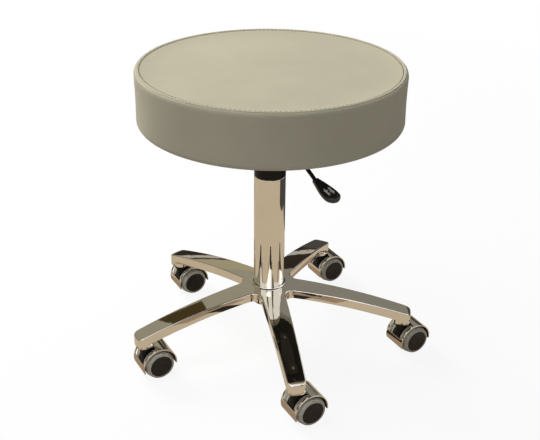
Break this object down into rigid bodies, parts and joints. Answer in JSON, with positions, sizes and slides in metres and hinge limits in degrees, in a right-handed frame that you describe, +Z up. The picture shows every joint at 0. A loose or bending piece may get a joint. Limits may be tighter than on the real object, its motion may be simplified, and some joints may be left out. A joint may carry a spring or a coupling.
{
  "type": "rolling stool",
  "caption": "Round padded stool on a polished star base: the seat turns, and rises on a gas lift released by a lever, and each hooded caster swivels and rolls.",
  "frame": {"origin": "on the floor, under the middle of the stool's outline", "axes": "+Z up; -Y along the front leg, so that +X is to the right of someone facing the stool"},
  "size_m": [0.4912, 0.4644, 0.4846],
  "materials": {
    "leatherette": "satin beige-grey leatherette with a fine grain",
    "foam": "open-cell foam",
    "plywood": "plain plywood",
    "chrome": "mirror chrome",
    "polished_aluminium": "mirror polished and chromed casting",
    "steel": "bright steel",
    "painted_steel": "black powder coat",
    "black_plastic": "satin black plastic",
    "rubber": "matt black rubber",
    "wheel_plastic": "dark brown plastic",
    "tread": "satin grey tyre"
  },
  "bodies": {
    "base": {"star_base": "polished_aluminium", "outer_column": "chrome", "guide_bush": "black_plastic", "thrust_bearing": "steel", "caster_1_stem": "steel", "caster_2_stem": "steel", "caster_3_stem": "steel", "caster_4_stem": "steel", "caster_5_stem": "steel"},
    "spindle": {"piston_rod": "steel", "retaining_clip": "steel", "rubber_buffer": "rubber"},
    "seat": {"seat_cover": "leatherette", "seat_foam": "foam", "seat_board": "plywood", "seat_plate": "painted_steel", "seat_bolt_1": "steel", "seat_bolt_2": "steel", "seat_bolt_3": "steel", "seat_bolt_4": "steel", "gas_tube": "painted_steel", "lever_pin": "steel"},
    "lever": {"lever_rod": "painted_steel", "lever_paddle": "black_plastic"},
    "valve": {"valve_button": "steel"},
    "caster_1": {"caster_1_core": "black_plastic", "caster_1_hood": "chrome", "caster_1_axle": "steel"},
    "wheel_1_left": {"caster_1_hub_left": "wheel_plastic", "caster_1_tread_left": "tread"},
    "wheel_1_right": {"caster_1_hub_right": "wheel_plastic", "caster_1_tread_right": "tread"},
    "caster_2": {"caster_2_core": "black_plastic", "caster_2_hood": "chrome", "caster_2_axle": "steel"},
    "wheel_2_left": {"caster_2_hub_left": "wheel_plastic", "caster_2_tread_left": "tread"},
    "wheel_2_right": {"caster_2_hub_right": "wheel_plastic", "caster_2_tread_right": "tread"},
    "caster_3": {"caster_3_core": "black_plastic", "caster_3_hood": "chrome", "caster_3_axle": "steel"},
    "wheel_3_left": {"caster_3_hub_left": "wheel_plastic", "caster_3_tread_left": "tread"},
    "wheel_3_right": {"caster_3_hub_right": "wheel_plastic", "caster_3_tread_right": "tread"},
    "caster_4": {"caster_4_core": "black_plastic", "caster_4_hood": "chrome", "caster_4_axle": "steel"},
    "wheel_4_left": {"caster_4_hub_left": "wheel_plastic", "caster_4_tread_left": "tread"},
    "wheel_4_right": {"caster_4_hub_right": "wheel_plastic", "caster_4_tread_right": "tread"},
    "caster_5": {"caster_5_core": "black_plastic", "caster_5_hood": "chrome", "caster_5_axle": "steel"},
    "wheel_5_left": {"caster_5_hub_left": "wheel_plastic", "caster_5_tread_left": "tread"},
    "wheel_5_right": {"caster_5_hub_right": "wheel_plastic", "caster_5_tread_right": "tread"}
  },
  "joints": [
    {"name": "seat_swivel", "type": "hinge", "parent": "base", "child": "spindle", "pos_m": [-0.01565, 0.01606, 0.0943], "axis": [0, 0, 1], "continuous": true},
    {"name": "seat_lift", "type": "slide", "parent": "spindle", "child": "seat", "axis": [0, 0, 1], "range_m": [0, 0.14]},
    {"name": "lever_pull", "type": "hinge", "parent": "seat", "child": "lever", "pos_m": [-0.0063, -0.01034, 0.3837], "axis": [-0.9426, -0.3338, 0], "range_deg": [0, 7], "stiffness_Nm_per_rad": 1.2},
    {"name": "valve_press", "type": "slide", "parent": "seat", "child": "valve", "axis": [0, 0, -1], "range_m": [0, 0.00345]},
    {"name": "caster_1_swivel", "type": "hinge", "parent": "base", "child": "caster_1", "pos_m": [-0.01565, -0.20694, 0.045], "axis": [0, 0, 1], "continuous": true},
    {"name": "wheel_1_left_roll", "type": "hinge", "parent": "caster_1", "child": "wheel_1_left", "pos_m": [0, -0.2017, 0.025], "axis": [-0.3173, 0.9483, 0], "continuous": true},
    {"name": "wheel_1_right_roll", "type": "hinge", "parent": "caster_1", "child": "wheel_1_right", "pos_m": [0, -0.2017, 0.025], "axis": [-0.3173, 0.9483, 0], "continuous": true},
    {"name": "caster_2_swivel", "type": "hinge", "parent": "base", "child": "caster_2", "pos_m": [0.19644, -0.05285, 0.045], "axis": [0, 0, 1], "continuous": true},
    {"name": "wheel_2_left_roll", "type": "hinge", "parent": "caster_2", "child": "wheel_2_left", "pos_m": [0.21209, -0.04762, 0.025], "axis": [-0.3173, 0.9483, 0], "continuous": true},
    {"name": "wheel_2_right_roll", "type": "hinge", "parent": "caster_2", "child": "wheel_2_right", "pos_m": [0.21209, -0.04762, 0.025], "axis": [-0.3173, 0.9483, 0], "continuous": true},
    {"name": "caster_3_swivel", "type": "hinge", "parent": "base", "child": "caster_3", "pos_m": [0.11543, 0.19647, 0.045], "axis": [0, 0, 1], "continuous": true},
    {"name": "wheel_3_left_roll", "type": "hinge", "parent": "caster_3", "child": "wheel_3_left", "pos_m": [0.13108, 0.2017, 0.025], "axis": [-0.3173, 0.9483, 0], "continuous": true},
    {"name": "wheel_3_right_roll", "type": "hinge", "parent": "caster_3", "child": "wheel_3_right", "pos_m": [0.13108, 0.2017, 0.025], "axis": [-0.3173, 0.9483, 0], "continuous": true},
    {"name": "caster_4_swivel", "type": "hinge", "parent": "base", "child": "caster_4", "pos_m": [-0.14672, 0.19647, 0.045], "axis": [0, 0, 1], "continuous": true},
    {"name": "wheel_4_left_roll", "type": "hinge", "parent": "caster_4", "child": "wheel_4_left", "pos_m": [-0.13108, 0.2017, 0.025], "axis": [-0.3173, 0.9483, 0], "continuous": true},
    {"name": "wheel_4_right_roll", "type": "hinge", "parent": "caster_4", "child": "wheel_4_right", "pos_m": [-0.13108, 0.2017, 0.025], "axis": [-0.3173, 0.9483, 0], "continuous": true},
    {"name": "caster_5_swivel", "type": "hinge", "parent": "base", "child": "caster_5", "pos_m": [-0.22773, -0.05285, 0.045], "axis": [0, 0, 1], "continuous": true},
    {"name": "wheel_5_left_roll", "type": "hinge", "parent": "caster_5", "child": "wheel_5_left", "pos_m": [-0.21209, -0.04762, 0.025], "axis": [-0.3173, 0.9483, 0], "continuous": true},
    {"name": "wheel_5_right_roll", "type": "hinge", "parent": "caster_5", "child": "wheel_5_right", "pos_m": [-0.21209, -0.04762, 0.025], "axis": [-0.3173, 0.9483, 0], "continuous": true}
  ],
  "couplings": [
    {"joint": "valve_press", "follows": "lever_pull", "m_per_rad": 0.028}
  ]
}
